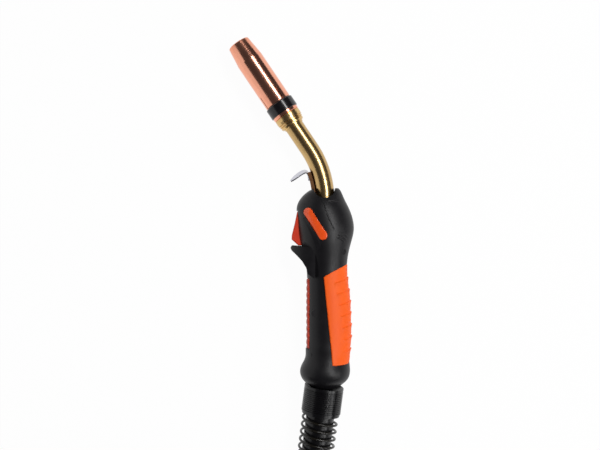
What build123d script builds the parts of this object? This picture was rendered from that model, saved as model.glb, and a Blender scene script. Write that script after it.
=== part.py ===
from build123d import *
from math import atan2, cos, degrees, pi, radians, sin, tan
import os

os.makedirs("parts", exist_ok=True)

# A gas-cooled MIG welding torch that lies on its side on a bench, with its hose coiled behind it.
# Millimetres. +Z is up, +Y runs from the hose to the nozzle, and the trigger is on the -X side.
# The handle is drawn in (x, height) from its axis and its hose end, the neck in (along, radius).

FIT = 0.05            # clearance between turned pieces that stay together
RUNNING = 0.3         # clearance between pieces that move on each other

# Handle
HANDLE_HALF = 25.0    # half the handle's thickness, where it rests on the bench
WALL = 4.2            # shell wall
PAD_DEPTH = 2.0       # how deep the soft grips are let in
PAD_PROUD = 0.3       # how far they stand out
BADGE_DEPTH = 1.6
BADGE_PROUD = 0.4
TAIL_LIP, NOSE_HEIGHT = -2.4, 195.6
# (height, front edge, back edge, half thickness) up the handle
HANDLE_STATIONS = [
    (TAIL_LIP, -14.3, 14.3, 14.3),
    (0.0, -16.9, 16.9, 16.9),
    (3.0, -20.5, 20.5, 20.3),
    (8.0, -24.0, 24.0, 23.8),
    (13.0, -25.0, 25.0, HANDLE_HALF - 0.1),
    (20.0, -23.0, 24.6, 23.4),
    (30.0, -19.4, 24.6, 20.4),
    (46.0, -18.0, 25.8, 18.8),
    (66.0, -18.0, 25.6, 18.6),
    (88.0, -18.0, 24.6, 18.4),
    (108.0, -18.0, 22.2, 18.2),
    (122.0, -19.6, 22.2, 19.6),
    (136.0, -23.6, 24.6, 22.6),
    (150.0, -26.4, 28.2, 24.6),
    (160.0, -27.4, 28.6, 24.8),
    (170.0, -28.2, 26.2, 23.8),
    (178.0, -28.0, 22.8, 21.9),
    (184.0, -25.4, 19.8, 19.2),
    (188.5, -21.8, 17.8, 16.8),
    (192.5, -17.0, 16.0, 14.8),
    (NOSE_HEIGHT, -12.8, 13.6, 12.4),
]
CAVITY_LOW, CAVITY_HIGH = 30.0, 178.0
GUARD_MID, GUARD_DEEP, GUARD_HALF = -6.0, 29.6, 19.0     # its rounded section
NOSE_OPEN_X, NOSE_OPEN_HEIGHT = -0.8, 197.0               # the open nose over the neck
NOSE_OPEN_WIDE, NOSE_OPEN_TALL = 11.0, 11.4

# Trigger and switch
TRIGGER_HALF = 6.5
SLOT_GAP = 0.6
TRIGGER_LOW, TRIGGER_HIGH = 138.6, 172.6
TRIGGER_BACK = -21.0
PIN_X, PIN_HEIGHT, PIN_R = -22.2, 168.0, 1.5
PIN_HALF = 12.0
SPRING_WIRE, SPRING_PITCH, SPRING_LONG = 0.7, 0.95, 2.4
SWITCH_FACE, SWITCH_DEEP = -17.4, 6.4
SWITCH_LOW, SWITCH_HIGH, SWITCH_HALF = 141.0, 162.0, 5.0
PLUNGER_HEIGHT, PLUNGER_R = 148.0, 1.6

# Screws of the handle, seen from the side
SCREW_SPOTS = [(-10.4, 31.0), (-10.4, 72.0), (16.8, 133.0), (17.4, 163.0)]
SCREW_R, SCREW_HEAD_R, SCREW_HEAD_DEEP = 1.5, 2.8, 2.0
SCREW_SEAT, SCREW_END = 9.0, 10.0
BOSS_R = 3.6

# Neck
BEND = 34.0           # angle of the swan neck
BEND_R = 92.0
BEND_START = 184.0    # height on the handle where the bend begins
NECK_TAIL = 119.0     # height of the neck tube's end inside the handle
NECK_R, NECK_BORE = 9.5, 7.9
SLEEVE_R, SLEEVE_BORE = 7.8, 6.3
CORE_R, CORE_BORE = 6.2, 3.2
LINER_R, LINER_BORE = 2.6, 1.2
CLAMP_LOW, CLAMP_HIGH, CLAMP_HALF = 119.5, 137.5, 11.2
UNION_NUT_R, UNION_R = 10.6, 8.0
UNION_LOW, UNION_MID, UNION_HIGH = 84.0, 103.0, 118.6

# Front end, by distance along the straight part of the neck
HEAD_START, HEAD_FACE, SPIGOT_END = 28.8, 40.5, 58.0
HEAD_R, SPIGOT_R, SOCKET_R = 13.45, 10.4, 7.7
SEAT_END, RING_END = 43.5, 54.5
RING_R = 14.7
NOZZLE_R, NOZZLE_BORE, MOUTH_R, MOUTH_BORE = 13.6, 10.9, 11.3, 8.6
NOZZLE_TAPER, NOZZLE_END = 106.0, 126.5
NOZZLE_SLOT, NOZZLE_SLOT_WIDE = 14.0, 0.9
HOLDER_END, TIP_END = 84.0, 122.0
TIP_R, TIP_BORE, TIP_SHANK_R = 5.0, 0.7, 4.0
DIFFUSER_R, DIFFUSER_END = 10.2, 80.0

# Hook
HOOK_THICK, HOOK_HALF = 1.6, 4.0
BRACKET_THICK, BRACKET_HALF, BRACKET_TOP = 3.4, 4.6, 20.0

# Ball joint and cable support
BALL_ACROSS, BALL_HEIGHT = 1.2, 13.0      # the ball's centre on the handle's scale
BALL_R, STEM_R, BALL_BORE, BALL_FLARE = 17.0, 7.5, 6.0, 11.4
BALL_TOP = 11.0
MOUTH_HALF_ANGLE = 40.0
SUPPORT_LEAN = 7.4    # how far the support leans to the front where the torch rests
SUPPORT_DIP = 2.2     # how far it dips towards the bench
SUPPORT_START, SUPPORT_PLATE, SUPPORT_END = 14.8, 25.4, 41.0
CUP_R = 24.1          # the hollow that clears the handle's end, round the ball's centre
SUPPORT_R, COLLAR_R, COLLAR_END = 19.7, 18.9, 43.4
RIB_PITCH, RIB_DEEP = 1.9, 0.7
POWER_R, CABLE_WAY_R = 5.4, 9.5

# Hose
HOSE_R = 14.25
TAIL_OUT, TAIL_DROP, TAIL_LAST = 20.0, -44.0, 57.0   # where the hose's far end lies
COIL_SPRING_R, COIL_SPRING_WIRE, COIL_SPRING_PITCH, COIL_SPRING_LONG = 17.3, 1.2, 7.4, 107.0
TURN_OUTER, TURN_INNER = 157.0, 128.5     # the two turns that lie on the bench
COIL_TOP, COIL_SHOULDER = 60.0, 44.0
COIL_ACROSS = -163.0                      # the coil's centre, across from the handle's axis
COIL_HEIGHT = -259.0                      # the coil's centre, on the handle's height scale
HOSE_BEND = 176.0                         # distance from the ball where the hose leaves its line

# Machine plug
PLUG_R, PLUG_LENGTH, PLUG_TURN = 25.0, 108.0, 8.0
HOUSING_END, HOUSING_WALL = 63.4, 3.0
SPIGOT_PIN_R, SPIGOT_ROOT_R, SPIGOT_START, SEAL_R = 7.0, 6.5, 80.0, 0.9
PLUG_SCREW_ACROSS, PLUG_SCREW_ALONG, PLUG_SCREW_SEAT, PLUG_SCREW_END = 17.4, 7.0, 4.5, 8.0
CONTACT_R, CONTACT_OFFSET, CONTACT_OUT, CONTACT_TRAVEL = 1.6, 13.0, 8.0, 3.0

# Places that follow from the sizes above
SIN, COS = sin(radians(BEND)), cos(radians(BEND))
neck_end_x, neck_end_height = -BEND_R * (1 - COS), BEND_START + BEND_R * SIN
tip_x, tip_height = neck_end_x - NOZZLE_END * SIN, neck_end_height + NOZZLE_END * COS
spring_reach = COLLAR_END + COIL_SPRING_LONG
low_height = (
    BALL_HEIGHT
    - spring_reach * cos(radians(SUPPORT_LEAN)) * cos(radians(SUPPORT_DIP))
    - (COIL_SPRING_R + COIL_SPRING_WIRE) * sin(radians(SUPPORT_LEAN))
)
left_x = tip_x - MOUTH_R * COS
right_x = max(back for _, _, back, _ in HANDLE_STATIONS)
HX = -(left_x + right_x) / 2
HY = -(tip_height + MOUTH_R * SIN + low_height) / 2
HZ = HANDLE_HALF


def at(x, height, z=0.0):
    """A point on the handle's own scale, in the part's frame."""
    return Vector(HX + x, HY + height, HZ + z)


neck_way = Vector(-SIN, COS, 0)
support_way = Vector(
    -sin(radians(SUPPORT_LEAN)) * cos(radians(SUPPORT_DIP)),
    -cos(radians(SUPPORT_LEAN)) * cos(radians(SUPPORT_DIP)),
    -sin(radians(SUPPORT_DIP)),
)
ball = at(BALL_ACROSS, BALL_HEIGHT)
neck_end = at(neck_end_x, neck_end_height)
side = Plane(origin=at(0, 0), x_dir=(1, 0, 0), z_dir=(0, 0, 1))
neck_side = Plane(origin=neck_end, x_dir=neck_way, z_dir=(0, 0, 1))
neck_axis = Axis(neck_end, neck_way)
handle_side = Plane(origin=at(0, 0), x_dir=(0, 1, 0), z_dir=(0, 0, 1))
handle_axis = Axis(at(0, 0), (0, 1, 0))
ball_side = Plane(origin=ball, x_dir=(0, 1, 0), z_dir=(0, 0, 1))
ball_axis = Axis(ball, (0, 1, 0))
support_side = Plane(
    origin=ball, x_dir=support_way, z_dir=support_way.cross(Vector(0, 0, 1).cross(support_way))
)
support_axis = Axis(ball, support_way)
coil_centre = Vector(HX + COIL_ACROSS, HY + COIL_HEIGHT, 0)
plug_way = Vector(-sin(radians(PLUG_TURN)), -cos(radians(PLUG_TURN)), 0)
plug_across = Vector(cos(radians(PLUG_TURN)), -sin(radians(PLUG_TURN)), 0)
upward = Vector(0, 0, 1)
plug_start = (
    coil_centre + Vector(TURN_OUTER + TAIL_OUT, TAIL_DROP, PLUG_R) + plug_way * TAIL_LAST
)
plug_side = Plane(origin=plug_start, x_dir=plug_way, z_dir=(0, 0, 1))
plug_axis = Axis(plug_start, plug_way)


def outline(plane, *points):
    """A closed flat face through points on a plane."""
    with BuildSketch(plane, mode=Mode.PRIVATE) as flat:
        with BuildLine():
            Polyline(*points, close=True)
        make_face()
    return flat.sketch.face()


def rounded(plane, radius, *points):
    """A closed flat face through points on a plane, with its corners rounded."""
    with BuildSketch(plane, mode=Mode.PRIVATE) as flat:
        with BuildLine():
            Polyline(*points, close=True)
        make_face()
        fillet(flat.vertices(), radius)
    return flat.sketch.face()


def handle_form(inset, low=TAIL_LIP, high=NOSE_HEIGHT):
    """The handle's smooth outside, drawn in by inset, between two heights."""
    with BuildPart(mode=Mode.PRIVATE) as form:
        for height, front, back, half in HANDLE_STATIONS:
            if low <= height <= high:
                level = Plane(
                    origin=at((front + back) / 2, height), x_dir=(1, 0, 0), z_dir=(0, 1, 0)
                )
                with BuildSketch(level):
                    Ellipse((back - front) / 2 - inset, half - inset)
        loft()
    return form.part


def neck_path():
    """The neck's centre line: straight in the handle, bent, then straight to its head."""
    with BuildLine(mode=Mode.PRIVATE) as path:
        tail = Line(at(0, NECK_TAIL), at(0, BEND_START))
        bend = RadiusArc(tail @ 1, neck_end, -BEND_R)
        Line(bend @ 1, neck_end + neck_way * (HEAD_START + 1.6))
    return path.line


def neck_tube(outer, bore):
    """A tube along the neck's centre line."""
    with BuildPart(mode=Mode.PRIVATE) as tube:
        with BuildSketch(Plane(origin=at(0, NECK_TAIL), x_dir=(1, 0, 0), z_dir=(0, 1, 0))):
            Circle(outer)
            Circle(bore, mode=Mode.SUBTRACT)
        sweep(path=neck_path())
    return tube.part


# ---------------------------------------------------------------- handle shells and grips
back_zone = rounded(
    side, 2.5, (-2.4, 108.2), (50, 134.6), (50, 26), (24, 26), (20.0, 21.6), (6.6, 21.2)
)
front_zone = rounded(side, 1.5, (-50, 108), (-15.6, 106), (-15.6, 36), (-50, 34))
BADGE_AT, BADGE_RUN, BADGE_LONG, BADGE_WIDE = (-10.0, 160.2), (14.4, -22.7), 36.1, 9.2

body_form = handle_form(0)
pad_floor = handle_form(PAD_DEPTH)
pad_face = handle_form(-PAD_PROUD)
cavity = handle_form(WALL, CAVITY_LOW, CAVITY_HIGH)

with BuildPart() as badge_tool:
    with BuildSketch(side):
        with Locations(BADGE_AT):
            SlotOverall(
                BADGE_LONG, BADGE_WIDE, rotation=degrees(atan2(BADGE_RUN[1], BADGE_RUN[0]))
            )
    extrude(amount=HANDLE_HALF + 5, both=True)
    add(handle_form(-BADGE_PROUD), mode=Mode.INTERSECT)
    add(handle_form(BADGE_DEPTH), mode=Mode.SUBTRACT)

# the finger guard below the trigger, which thickens towards the handle
with BuildPart() as guard:
    extrude(
        rounded(
            side, 1.2,
            (-10, 106), (-17.4, 110.8), (-19.0, 117.0), (-23.2, 123.8), (-29.2, 130.0),
            (-33.0, 133.4), (-34.6, 136.4), (-33.2, 138.6), (-25, 138.0), (-10, 137.0),
        ),
        amount=HANDLE_HALF, both=True,
    )
    with BuildPart(mode=Mode.INTERSECT):
        with BuildSketch(Plane(origin=at(GUARD_MID, 100), x_dir=(1, 0, 0), z_dir=(0, 1, 0))):
            Ellipse(GUARD_DEEP, GUARD_HALF)
        extrude(amount=45)

with BuildPart() as handle_body:
    add(body_form)
    add(guard.part)
    add(cavity, mode=Mode.SUBTRACT)
    for x, height in SCREW_SPOTS:
        with BuildSketch(side):
            with Locations((x, height)):
                Circle(BOSS_R)
        extrude(amount=SCREW_END + 4, both=True)
    # ball socket and its flared mouth
    with Locations(ball):
        Sphere(BALL_R + RUNNING, mode=Mode.SUBTRACT)
    mouth = tan(radians(MOUTH_HALF_ANGLE))
    reach = BALL_HEIGHT - TAIL_LIP + 1
    revolve(
        outline(ball_side, (0, 0), (-reach, 0), (-reach, reach * mouth)),
        axis=ball_axis, mode=Mode.SUBTRACT,
    )
    # way for the power cable from the socket into the cavity
    way_up = CAVITY_LOW + 1 - BALL_HEIGHT
    revolve(
        outline(ball_side, (0, 0), (0, CABLE_WAY_R), (way_up, CABLE_WAY_R), (way_up, 0)),
        axis=ball_axis, mode=Mode.SUBTRACT,
    )
    # neck hole, hook slot, trigger slot
    add(neck_tube(NECK_R + FIT, 0.5), mode=Mode.SUBTRACT)
    revolve(
        outline(handle_side, (170, 0), (170, 3), (196, 3), (196, 0)),
        axis=handle_axis, mode=Mode.SUBTRACT,
    )
    with BuildSketch(side):
        with Locations((NOSE_OPEN_X, NOSE_OPEN_HEIGHT)):
            Ellipse(NOSE_OPEN_WIDE, NOSE_OPEN_TALL)
    extrude(amount=HANDLE_HALF, both=True, mode=Mode.SUBTRACT)
    with BuildSketch(side):
        with Locations((-NECK_R - 2.2, 190)):
            Rectangle(6.2, 16)
    extrude(amount=BRACKET_HALF + FIT, both=True, mode=Mode.SUBTRACT)
    with BuildSketch(side):
        with Locations((-31, (TRIGGER_LOW + TRIGGER_HIGH) / 2)):
            Rectangle(24, TRIGGER_HIGH - TRIGGER_LOW + 2 * SLOT_GAP)
    extrude(amount=TRIGGER_HALF + SLOT_GAP, both=True, mode=Mode.SUBTRACT)
    # trigger pin
    with BuildSketch(side):
        with Locations((PIN_X, PIN_HEIGHT)):
            Circle(PIN_R)
    extrude(amount=PIN_HALF, both=True, mode=Mode.SUBTRACT)
    # pocket for the trigger spring
    with BuildSketch(side):
        with Locations((PIN_X, PIN_HEIGHT)):
            Circle(PIN_R + SPRING_WIRE + RUNNING)
    extrude(amount=TRIGGER_HALF + SLOT_GAP + SPRING_LONG + 2 * SPRING_WIRE, mode=Mode.SUBTRACT)
    # screws
    for x, height in SCREW_SPOTS:
        with BuildSketch(side.offset(-SCREW_SEAT)):
            with Locations((x, height)):
                Circle(SCREW_HEAD_R + 0.3)
        extrude(amount=-HANDLE_HALF, mode=Mode.SUBTRACT)
        with BuildSketch(side.offset(-SCREW_SEAT)):
            with Locations((x, height)):
                Circle(SCREW_R)
        extrude(amount=SCREW_SEAT + SCREW_END, mode=Mode.SUBTRACT)
    # recesses for the grips and badges
    for zone in (back_zone, front_zone):
        with BuildPart(mode=Mode.PRIVATE) as recess:
            extrude(zone, amount=HANDLE_HALF + 5, both=True)
            add(pad_floor, mode=Mode.SUBTRACT)
        add(recess.part, mode=Mode.SUBTRACT)
    add(badge_tool.part, mode=Mode.SUBTRACT)

with BuildPart() as handle_left:
    add(handle_body.part)
    split(bisect_by=Plane(origin=(0, 0, HZ)), keep=Keep.TOP)
handle_left.part.label = "handle_left"
export_step(handle_left.part, "parts/handle_left.step")

with BuildPart() as handle_right:
    add(handle_body.part)
    split(bisect_by=Plane(origin=(0, 0, HZ)), keep=Keep.BOTTOM)
handle_right.part.label = "handle_right"
export_step(handle_right.part, "parts/handle_right.step")

with BuildPart() as back_grip:
    extrude(back_zone, amount=HANDLE_HALF + 5, both=True)
    add(pad_face, mode=Mode.INTERSECT)
    add(pad_floor, mode=Mode.SUBTRACT)
back_grip.part.label = "back_grip"
export_step(back_grip.part, "parts/back_grip.step")

with BuildPart() as front_grip:
    extrude(front_zone, amount=HANDLE_HALF + 5, both=True)
    add(pad_face, mode=Mode.INTERSECT)
    add(pad_floor, mode=Mode.SUBTRACT)
front_grip.part.label = "front_grip"
export_step(front_grip.part, "parts/front_grip.step")

with BuildPart() as badge_left:
    add(badge_tool.part)
    split(bisect_by=Plane(origin=(0, 0, HZ)), keep=Keep.TOP)
badge_left.part.label = "badge_left"
export_step(badge_left.part, "parts/badge_left.step")

with BuildPart() as badge_right:
    add(badge_tool.part)
    split(bisect_by=Plane(origin=(0, 0, HZ)), keep=Keep.BOTTOM)
badge_right.part.label = "badge_right"
export_step(badge_right.part, "parts/badge_right.step")

with BuildPart() as handle_screws:
    for x, height in SCREW_SPOTS:
        with BuildSketch(side.offset(-SCREW_SEAT)):
            with Locations((x, height)):
                Circle(SCREW_R)
        extrude(amount=SCREW_SEAT + SCREW_END - FIT)
        with BuildSketch(side.offset(-SCREW_SEAT)):
            with Locations((x, height)):
                Circle(SCREW_HEAD_R)
        extrude(amount=-SCREW_HEAD_DEEP)
handle_screws.part.label = "handle_screws"
export_step(handle_screws.part, "parts/handle_screws.step")

# ---------------------------------------------------------------- trigger and switch
with BuildPart() as trigger:
    extrude(
        rounded(
            side, 1.0,
            (-27.8, TRIGGER_HIGH), (-30.4, 160), (-33.2, 148.6), (-33.4, 144.6), (-26.6, TRIGGER_LOW),
            (TRIGGER_BACK, TRIGGER_LOW), (TRIGGER_BACK, 161), (-18.6, 164), (-18.6, TRIGGER_HIGH),
        ),
        amount=TRIGGER_HALF, both=True,
    )
    fillet(trigger.edges().filter_by(Axis.Z, reverse=True).group_by(Axis.X)[0], 1.2)
    with BuildSketch(side):
        with Locations((PIN_X, PIN_HEIGHT)):
            Circle(PIN_R + FIT)
    extrude(amount=TRIGGER_HALF, both=True, mode=Mode.SUBTRACT)
trigger.part.label = "trigger"
export_step(trigger.part, "parts/trigger.step")

with BuildPart() as trigger_pin:
    with BuildSketch(side):
        with Locations((PIN_X, PIN_HEIGHT)):
            Circle(PIN_R)
    extrude(amount=PIN_HALF, both=True)
trigger_pin.part.label = "trigger_pin"
export_step(trigger_pin.part, "parts/trigger_pin.step")

with BuildPart() as trigger_spring:
    with BuildLine():
        coils = Helix(
            pitch=SPRING_PITCH, height=SPRING_LONG, radius=PIN_R + FIT + SPRING_WIRE / 2,
            center=at(PIN_X, PIN_HEIGHT, TRIGGER_HALF + SLOT_GAP + SPRING_WIRE / 2),
        )
    with BuildSketch(Plane(origin=coils @ 0, z_dir=coils % 0)):
        Circle(SPRING_WIRE / 2)
    sweep(is_frenet=True)
trigger_spring.part.label = "trigger_spring"
export_step(trigger_spring.part, "parts/trigger_spring.step")

with BuildPart() as switch_body:
    with BuildSketch(side):
        with Locations((SWITCH_FACE + SWITCH_DEEP / 2, (SWITCH_LOW + SWITCH_HIGH) / 2)):
            RectangleRounded(SWITCH_DEEP, SWITCH_HIGH - SWITCH_LOW, 0.6)
    extrude(amount=SWITCH_HALF, both=True)
    with BuildSketch(Plane(origin=at(SWITCH_FACE, PLUNGER_HEIGHT), z_dir=(1, 0, 0))):
        Circle(PLUNGER_R + FIT)
    extrude(amount=5.2, mode=Mode.SUBTRACT)
switch_body.part.label = "switch_body"
export_step(switch_body.part, "parts/switch_body.step")

with BuildPart() as switch_plunger:
    with BuildSketch(Plane(origin=at(TRIGGER_BACK + 3 * FIT, PLUNGER_HEIGHT), z_dir=(1, 0, 0))):
        Circle(PLUNGER_R)
    extrude(amount=SWITCH_FACE - TRIGGER_BACK + 2.6)
switch_plunger.part.label = "switch_plunger"
export_step(switch_plunger.part, "parts/switch_plunger.step")

# ---------------------------------------------------------------- neck
with BuildPart() as swan_neck:
    add(neck_tube(NECK_R, NECK_BORE))
swan_neck.part.label = "swan_neck"
export_step(swan_neck.part, "parts/swan_neck.step")

with BuildPart() as neck_insulation:
    add(neck_tube(SLEEVE_R, SLEEVE_BORE))
neck_insulation.part.label = "neck_insulation"
export_step(neck_insulation.part, "parts/neck_insulation.step")

with BuildPart() as current_tube:
    add(neck_tube(CORE_R, CORE_BORE))
current_tube.part.label = "current_tube"
export_step(current_tube.part, "parts/current_tube.step")

with BuildPart() as wire_liner:
    add(neck_tube(LINER_R, LINER_BORE))
wire_liner.part.label = "wire_liner"
export_step(wire_liner.part, "parts/wire_liner.step")

with BuildPart() as neck_clamp:
    with BuildSketch(Plane(origin=at(0, CLAMP_LOW), x_dir=(1, 0, 0), z_dir=(0, 1, 0))):
        RectangleRounded(2 * CLAMP_HALF, 2 * CLAMP_HALF, 3)
        Circle(NECK_R, mode=Mode.SUBTRACT)
    extrude(amount=CLAMP_HIGH - CLAMP_LOW)
neck_clamp.part.label = "neck_clamp"
export_step(neck_clamp.part, "parts/neck_clamp.step")

with BuildPart() as cable_union:
    with BuildSketch(Plane(origin=at(0, UNION_MID), x_dir=(1, 0, 0), z_dir=(0, 1, 0))):
        RegularPolygon(UNION_NUT_R, 6)
    extrude(amount=UNION_HIGH - UNION_MID)
    with BuildSketch(Plane(origin=at(0, UNION_LOW), x_dir=(1, 0, 0), z_dir=(0, 1, 0))):
        Circle(UNION_R)
    extrude(amount=UNION_MID - UNION_LOW)
    with BuildSketch(Plane(origin=at(0, UNION_LOW), x_dir=(1, 0, 0), z_dir=(0, 1, 0))):
        Circle(POWER_R)
    extrude(amount=12, mode=Mode.SUBTRACT)
cable_union.part.label = "cable_union"
export_step(cable_union.part, "parts/cable_union.step")

with BuildPart() as power_cable:
    with BuildSketch(Plane(origin=at(0, BALL_HEIGHT), x_dir=(1, 0, 0), z_dir=(0, 1, 0))):
        Circle(POWER_R - RUNNING)
    extrude(amount=UNION_LOW + 12 - BALL_HEIGHT)
power_cable.part.label = "power_cable"
export_step(power_cable.part, "parts/power_cable.step")

# ---------------------------------------------------------------- front end
with BuildPart() as neck_head:
    revolve(
        outline(
            neck_side,
            (27.0, NECK_R), (27.0, 10.3), (HEAD_START, 10.3), (HEAD_START, 11.6), (30.2, 12.4), (30.9, 12.4),
            (31.2, 11.7), (31.6, 11.7), (31.9, 12.8), (33.0, 12.8), (33.3, 12.1), (33.7, 12.1), (34.0, 13.2),
            (36.4, HEAD_R), (39.9, HEAD_R), (HEAD_FACE, 13.0), (HEAD_FACE, SPIGOT_R), (SPIGOT_END, SPIGOT_R),
            (SPIGOT_END, SOCKET_R), (HEAD_START + 1.6, SOCKET_R), (HEAD_START + 1.6, NECK_R),
        ),
        axis=neck_axis,
    )
neck_head.part.label = "neck_head"
export_step(neck_head.part, "parts/neck_head.step")

with BuildPart() as nozzle_seat:
    revolve(
        outline(
            neck_side, (HEAD_FACE, SPIGOT_R), (HEAD_FACE, 13.3), (HEAD_FACE + 0.4, 13.7), (SEAT_END, 13.7),
            (SEAT_END, SPIGOT_R),
        ),
        axis=neck_axis,
    )
nozzle_seat.part.label = "nozzle_seat"
export_step(nozzle_seat.part, "parts/nozzle_seat.step")

with BuildPart() as insulator_ring:
    revolve(
        outline(
            neck_side, (SEAT_END, SPIGOT_R), (SEAT_END, RING_R - 0.5), (SEAT_END + 0.5, RING_R),
            (RING_END - 0.5, RING_R), (RING_END, RING_R - 0.5), (RING_END, SPIGOT_R),
        ),
        axis=neck_axis,
    )
insulator_ring.part.label = "insulator_ring"
export_step(insulator_ring.part, "parts/insulator_ring.step")

with BuildPart() as nozzle_clip:
    revolve(
        outline(
            neck_side, (RING_END, SPIGOT_R), (RING_END, SPIGOT_R + 0.42), (SPIGOT_END - 0.5, SPIGOT_R + 0.42),
            (SPIGOT_END - 0.5, SPIGOT_R),
        ),
        axis=neck_axis,
    )
nozzle_clip.part.label = "nozzle_clip"
export_step(nozzle_clip.part, "parts/nozzle_clip.step")

with BuildPart() as gas_nozzle:
    revolve(
        outline(
            neck_side,
            (RING_END + FIT, NOZZLE_BORE), (RING_END + FIT, NOZZLE_R - 0.6),
            (RING_END + 1, NOZZLE_R), (NOZZLE_TAPER, NOZZLE_R),
            (NOZZLE_END - 0.6, MOUTH_R), (NOZZLE_END, MOUTH_R - 0.6), (NOZZLE_END, MOUTH_BORE),
            (NOZZLE_END - 6, MOUTH_BORE), (NOZZLE_TAPER, NOZZLE_BORE),
        ),
        axis=neck_axis,
    )
    for turn in (25, 115, 205, 295):
        slot_way = Vector(0, 0, 1).rotate(Axis((0, 0, 0), neck_way), turn)
        with BuildSketch(
            Plane(origin=neck_end + neck_way * RING_END, x_dir=slot_way, z_dir=neck_way)
        ):
            with Locations((NOZZLE_R, 0)):
                Rectangle(NOZZLE_R, NOZZLE_SLOT_WIDE)
        extrude(amount=NOZZLE_SLOT, mode=Mode.SUBTRACT)
gas_nozzle.part.label = "gas_nozzle"
export_step(gas_nozzle.part, "parts/gas_nozzle.step")

with BuildPart() as tip_holder:
    revolve(
        outline(
            neck_side,
            (HEAD_START + 1.8, LINER_R + 0.4), (HEAD_START + 1.8, SOCKET_R), (SPIGOT_END + 2, SOCKET_R),
            (SPIGOT_END + 2, 9.4), (SPIGOT_END + 6, 9.4), (SPIGOT_END + 6, 7.0), (HOLDER_END, 7.0),
            (HOLDER_END, TIP_SHANK_R), (70, TIP_SHANK_R), (70, LINER_R + 0.4),
        ),
        axis=neck_axis,
    )
tip_holder.part.label = "tip_holder"
export_step(tip_holder.part, "parts/tip_holder.step")

with BuildPart() as gas_diffuser:
    revolve(
        outline(
            neck_side, (SPIGOT_END + 6, 7.0), (SPIGOT_END + 6, DIFFUSER_R), (DIFFUSER_END - 1, DIFFUSER_R),
            (DIFFUSER_END, DIFFUSER_R - 1), (DIFFUSER_END, 7.0),
        ),
        axis=neck_axis,
    )
    for turn in range(0, 360, 60):
        hole_way = Vector(0, 0, 1).rotate(Axis((0, 0, 0), neck_way), turn)
        with BuildSketch(
            Plane(origin=neck_end + neck_way * (SPIGOT_END + 13) + hole_way * 7.4, z_dir=hole_way)
        ):
            Circle(1.3)
        extrude(amount=DIFFUSER_R, mode=Mode.SUBTRACT)
gas_diffuser.part.label = "gas_diffuser"
export_step(gas_diffuser.part, "parts/gas_diffuser.step")

with BuildPart() as contact_tip:
    revolve(
        outline(
            neck_side,
            (71, TIP_BORE), (71, TIP_SHANK_R), (HOLDER_END, TIP_SHANK_R), (HOLDER_END, TIP_R),
            (TIP_END - 5, TIP_R), (TIP_END, TIP_R - 1.6), (TIP_END, TIP_BORE),
        ),
        axis=neck_axis,
    )
contact_tip.part.label = "contact_tip"
export_step(contact_tip.part, "parts/contact_tip.step")

# ---------------------------------------------------------------- hook
bend_x = -BEND_R
with BuildPart() as hook_bracket:
    inner, outer = BEND_R - NECK_R - BRACKET_THICK, BEND_R - NECK_R - FIT
    top = radians(BRACKET_TOP)
    with BuildSketch(side):
        with BuildLine():
            Line((bend_x + inner, BEND_START), (bend_x + outer, BEND_START))
            ThreePointArc(
                (bend_x + outer, BEND_START),
                (bend_x + outer * cos(top / 2), BEND_START + outer * sin(top / 2)),
                (bend_x + outer * cos(top), BEND_START + outer * sin(top)),
            )
            Line(
                (bend_x + outer * cos(top), BEND_START + outer * sin(top)),
                (bend_x + inner * cos(top), BEND_START + inner * sin(top)),
            )
            ThreePointArc(
                (bend_x + inner * cos(top), BEND_START + inner * sin(top)),
                (bend_x + inner * cos(top / 2), BEND_START + inner * sin(top / 2)),
                (bend_x + inner, BEND_START),
            )
        make_face()
    extrude(amount=BRACKET_HALF, both=True)
hook_bracket.part.label = "hook_bracket"
export_step(hook_bracket.part, "parts/hook_bracket.step")

foot_r = BEND_R - NECK_R - BRACKET_THICK - 3 * FIT - HOOK_THICK / 2


def on_foot(angle):
    """A point on the middle of the hook's foot, where it lies on the bracket."""
    return bend_x + foot_r * cos(radians(angle)), BEND_START + foot_r * sin(radians(angle))


with BuildPart() as hanging_hook:
    with BuildSketch(side):
        with BuildLine():
            ThreePointArc(on_foot(11.5), on_foot(15.5), on_foot(19.5))
            hook_rise = ThreePointArc(on_foot(19.5), (-19.1, 212.2), (-21.4, 212.8))
            ThreePointArc(hook_rise @ 1, (-28.2, 209.6), (-34.4, 203.4))
        trace(line_width=HOOK_THICK)
    extrude(amount=HOOK_HALF, both=True)
hanging_hook.part.label = "hanging_hook"
export_step(hanging_hook.part, "parts/hanging_hook.step")

# ---------------------------------------------------------------- ball joint and cable support
with BuildPart() as ball_joint:
    with BuildSketch(support_side):
        with BuildLine():
            Line((-BALL_TOP, 0), (-BALL_TOP, (BALL_R**2 - BALL_TOP**2) ** 0.5))
            ThreePointArc(
                (-BALL_TOP, (BALL_R**2 - BALL_TOP**2) ** 0.5),
                (0, BALL_R),
                ((BALL_R**2 - STEM_R**2) ** 0.5, STEM_R),
            )
            Polyline(
                ((BALL_R**2 - STEM_R**2) ** 0.5, STEM_R), (SUPPORT_PLATE + 2, STEM_R),
                (SUPPORT_PLATE + 2, 0), (-BALL_TOP, 0),
            )
        make_face()
    revolve(axis=support_axis)
    revolve(
        outline(
            support_side, (-BALL_TOP - 1, 0), (-BALL_TOP - 1, BALL_FLARE), (2, BALL_BORE),
            (SUPPORT_PLATE + 3, BALL_BORE), (SUPPORT_PLATE + 3, 0),
        ),
        axis=support_axis, mode=Mode.SUBTRACT,
    )
ball_joint.part.label = "ball_joint"
export_step(ball_joint.part, "parts/ball_joint.step")

rib_line = []
rib_at = SUPPORT_START + 4.4
while rib_at + RIB_PITCH < SUPPORT_END:
    rib_line += [
        (rib_at, SUPPORT_R), (rib_at + 0.35, SUPPORT_R - RIB_DEEP),
        (rib_at + 0.85, SUPPORT_R - RIB_DEEP), (rib_at + 1.2, SUPPORT_R),
    ]
    rib_at += RIB_PITCH

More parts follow.
